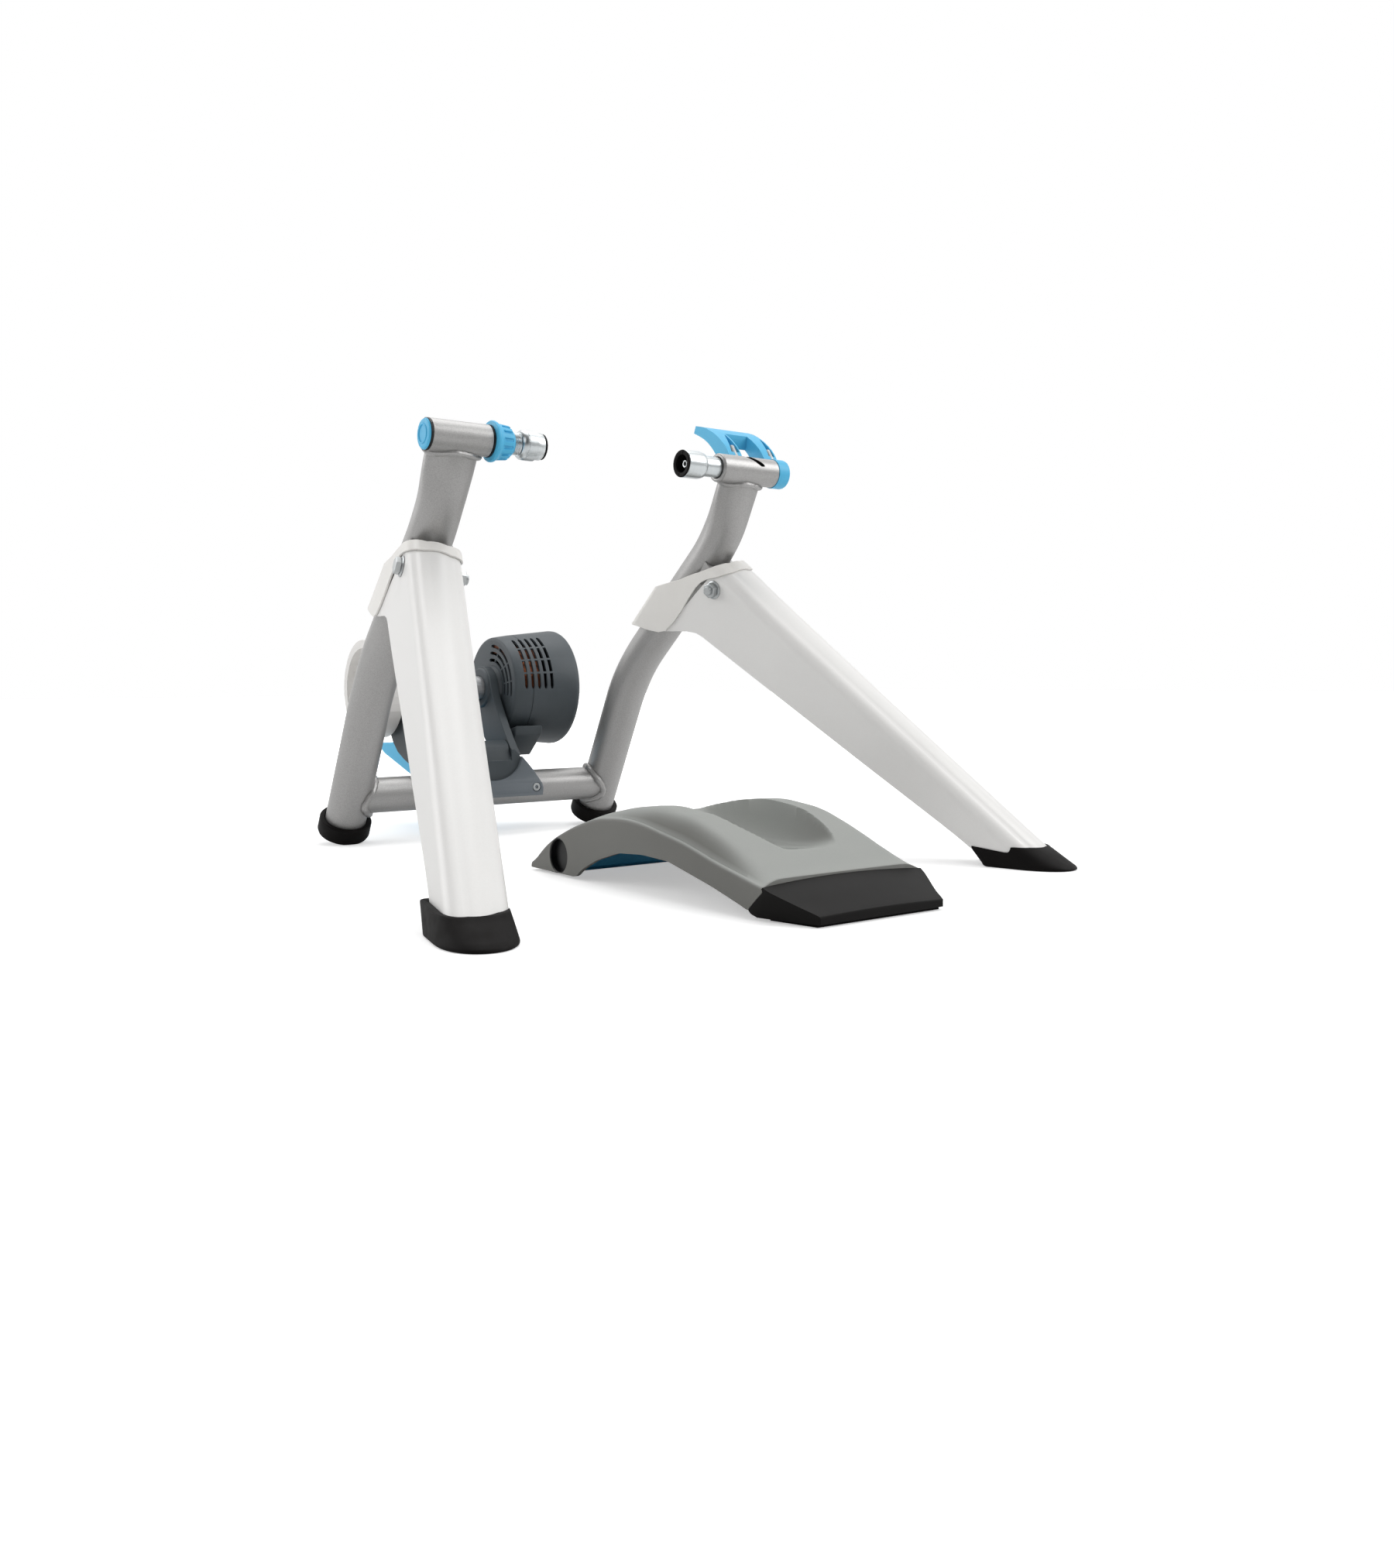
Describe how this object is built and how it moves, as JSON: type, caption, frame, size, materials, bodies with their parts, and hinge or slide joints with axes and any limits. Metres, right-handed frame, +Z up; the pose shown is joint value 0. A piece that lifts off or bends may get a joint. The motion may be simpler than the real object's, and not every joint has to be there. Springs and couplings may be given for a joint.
{
  "type": "bike trainer",
  "caption": "Folding indoor bicycle trainer: bent-tube uprights, channel front legs, screw and lever axle clamps, tilting roller unit with foot pedal, and a front wheel block.",
  "frame": {"origin": "centre of the footprint on the floor", "axes": "+X to the bicycle's right, -Y to the bicycle's front, +Z up"},
  "size_m": [0.6596, 0.8884, 0.4685],
  "materials": {
    "left_upright": "powder coated steel tube, fine metallic grey, semi-matt",
    "right_upright": "powder coated steel tube, fine metallic grey, semi-matt",
    "crossbar": "powder coated steel tube, fine metallic grey, semi-matt",
    "left_axle_tube": "powder coated steel tube, fine metallic grey, semi-matt",
    "right_axle_tube": "powder coated steel tube, fine metallic grey, semi-matt",
    "left_rear_foot": "moulded, near black, matt",
    "right_rear_foot": "moulded, near black, matt",
    "left_pivot_lug": "powder coated steel tube, fine metallic grey, semi-matt",
    "right_pivot_lug": "powder coated steel tube, fine metallic grey, semi-matt",
    "left_end_cap": "moulded, sky blue satin",
    "left_outer_seal": "moulded, black satin",
    "left_inner_seal": "moulded, black satin",
    "right_tube_seal": "moulded, black satin",
    "unit_saddle": "moulded, dark slate, lightly textured",
    "saddle_screw_left": "zinc plated, bright turned",
    "saddle_screw_right": "zinc plated, bright turned",
    "unit_pin": "zinc plated, bright turned",
    "pedal_pin": "zinc plated, bright turned",
    "block_shell": "moulded, mid grey, fine grain",
    "block_nose": "moulded, near black, matt",
    "block_nose_pad": "moulded, near black, matt",
    "block_foot_bar": "moulded, sky blue satin",
    "block_foot_end_left": "moulded, black satin",
    "block_foot_end_right": "moulded, black satin",
    "lock_ring": "moulded, sky blue satin",
    "left_spindle": "zinc plated, bright turned",
    "left_cup": "zinc plated, bright turned",
    "left_cup_liner": "moulded, black satin",
    "right_cup": "zinc plated, bright turned",
    "right_cup_liner": "moulded, black satin",
    "clamp_lever": "moulded, sky blue satin",
    "right_spindle": "zinc plated, bright turned",
    "lever_screw_slot": "zinc plated, bright turned",
    "lever_screw_end": "zinc plated, bright turned",
    "unit_frame": "moulded, dark slate, lightly textured",
    "drum_inner_housing": "moulded, dark slate, lightly textured",
    "drum_outer_housing": "moulded, dark slate, lightly textured",
    "stator": "enamelled copper windings",
    "plug_box": "moulded, dark slate, lightly textured",
    "power_inlet": "moulded, black satin",
    "left_bearing": "ground and bright",
    "right_bearing": "ground and bright",
    "roller": "turned, light grey, fine grain",
    "roller_shaft": "ground and bright",
    "flywheel": "ground and bright",
    "brake_rotor": "ground and bright",
    "pedal": "moulded, sky blue satin",
    "left_leg_shell": "powder coated pressed steel, off-white satin",
    "left_leg_collar": "moulded, off-white satin",
    "left_boot": "moulded, near black, matt",
    "left_pivot_bolt": "zinc plated, bright turned",
    "left_pivot_nut": "zinc plated, bright turned",
    "right_leg_shell": "powder coated pressed steel, off-white satin",
    "right_leg_collar": "moulded, off-white satin",
    "right_boot": "moulded, near black, matt",
    "right_pivot_bolt": "zinc plated, bright turned",
    "right_pivot_nut": "zinc plated, bright turned"
  },
  "bodies": {
    "stand": {"left_upright": "left_upright", "right_upright": "right_upright", "crossbar": "crossbar", "left_axle_tube": "left_axle_tube", "right_axle_tube": "right_axle_tube", "left_rear_foot": "left_rear_foot", "right_rear_foot": "right_rear_foot", "left_pivot_lug": "left_pivot_lug", "right_pivot_lug": "right_pivot_lug", "left_end_cap": "left_end_cap", "left_outer_seal": "left_outer_seal", "left_inner_seal": "left_inner_seal", "right_tube_seal": "right_tube_seal", "unit_saddle": "unit_saddle", "saddle_screw_left": "saddle_screw_left", "saddle_screw_right": "saddle_screw_right", "unit_pin": "unit_pin", "pedal_pin": "pedal_pin", "block_shell": "block_shell", "block_nose": "block_nose", "block_nose_pad": "block_nose_pad", "block_foot_bar": "block_foot_bar", "block_foot_end_left": "block_foot_end_left", "block_foot_end_right": "block_foot_end_right"},
    "lock_ring_body": {"lock_ring": "lock_ring"},
    "left_slide": {"left_spindle": "left_spindle", "left_cup": "left_cup", "left_cup_liner": "left_cup_liner"},
    "right_slide": {"right_cup": "right_cup", "right_cup_liner": "right_cup_liner"},
    "lever": {"clamp_lever": "clamp_lever", "right_spindle": "right_spindle", "lever_screw_slot": "lever_screw_slot", "lever_screw_end": "lever_screw_end"},
    "unit": {"unit_frame": "unit_frame", "drum_inner_housing": "drum_inner_housing", "drum_outer_housing": "drum_outer_housing", "stator": "stator", "plug_box": "plug_box", "power_inlet": "power_inlet", "left_bearing": "left_bearing", "right_bearing": "right_bearing"},
    "spin": {"roller": "roller", "roller_shaft": "roller_shaft", "flywheel": "flywheel", "brake_rotor": "brake_rotor"},
    "pedal_body": {"pedal": "pedal"},
    "left_leg": {"left_leg_shell": "left_leg_shell", "left_leg_collar": "left_leg_collar", "left_boot": "left_boot", "left_pivot_bolt": "left_pivot_bolt", "left_pivot_nut": "left_pivot_nut"},
    "right_leg": {"right_leg_shell": "right_leg_shell", "right_leg_collar": "right_leg_collar", "right_boot": "right_boot", "right_pivot_bolt": "right_pivot_bolt", "right_pivot_nut": "right_pivot_nut"}
  },
  "joints": [
    {"name": "left_leg_fold", "type": "hinge", "parent": "stand", "child": "left_leg", "pos_m": [-0.1803, -0.00275, 0.2872], "axis": [0.9665, -0.1894, -0.1731], "range_deg": [0, 80]},
    {"name": "right_leg_fold", "type": "hinge", "parent": "stand", "child": "right_leg", "pos_m": [0.1803, -0.00275, 0.2872], "axis": [0.9665, 0.1894, 0.1731], "range_deg": [0, 80]},
    {"name": "lock_ring_turn", "type": "hinge", "parent": "stand", "child": "lock_ring_body", "pos_m": [-0.138, -0.04575, 0.4105], "axis": [1, 0, 0], "range_deg": [-360, 1440]},
    {"name": "left_cup_slide", "type": "slide", "parent": "stand", "child": "left_slide", "axis": [1, 0, 0], "range_m": [-0.003, 0.012]},
    {"name": "clamp_cup_slide", "type": "slide", "parent": "stand", "child": "right_slide", "axis": [1, 0, 0], "range_m": [0, 0.01935]},
    {"name": "clamp_lever_turn", "type": "hinge", "parent": "right_slide", "child": "lever", "pos_m": [0.2065, -0.04575, 0.4105], "axis": [1, 0, 0], "range_deg": [0, 92]},
    {"name": "unit_tilt", "type": "hinge", "parent": "stand", "child": "unit", "pos_m": [0, 0.25625, 0.098], "axis": [1, 0, 0], "range_deg": [0, 52]},
    {"name": "roller_spin", "type": "hinge", "parent": "unit", "child": "spin", "pos_m": [0, 0.31925, 0.1745], "axis": [1, 0, 0], "continuous": true},
    {"name": "pedal_press", "type": "hinge", "parent": "stand", "child": "pedal_body", "pos_m": [0, 0.28525, 0.052], "axis": [1, 0, 0], "range_deg": [-27, 0]}
  ],
  "couplings": [
    {"joint": "lock_ring_turn", "follows": "left_cup_slide", "rad_per_m": 2094.2},
    {"joint": "clamp_lever_turn", "follows": "clamp_cup_slide", "rad_per_m": 82.92},
    {"joint": "pedal_press", "follows": "unit_tilt", "ratio": -0.5}
  ]
}
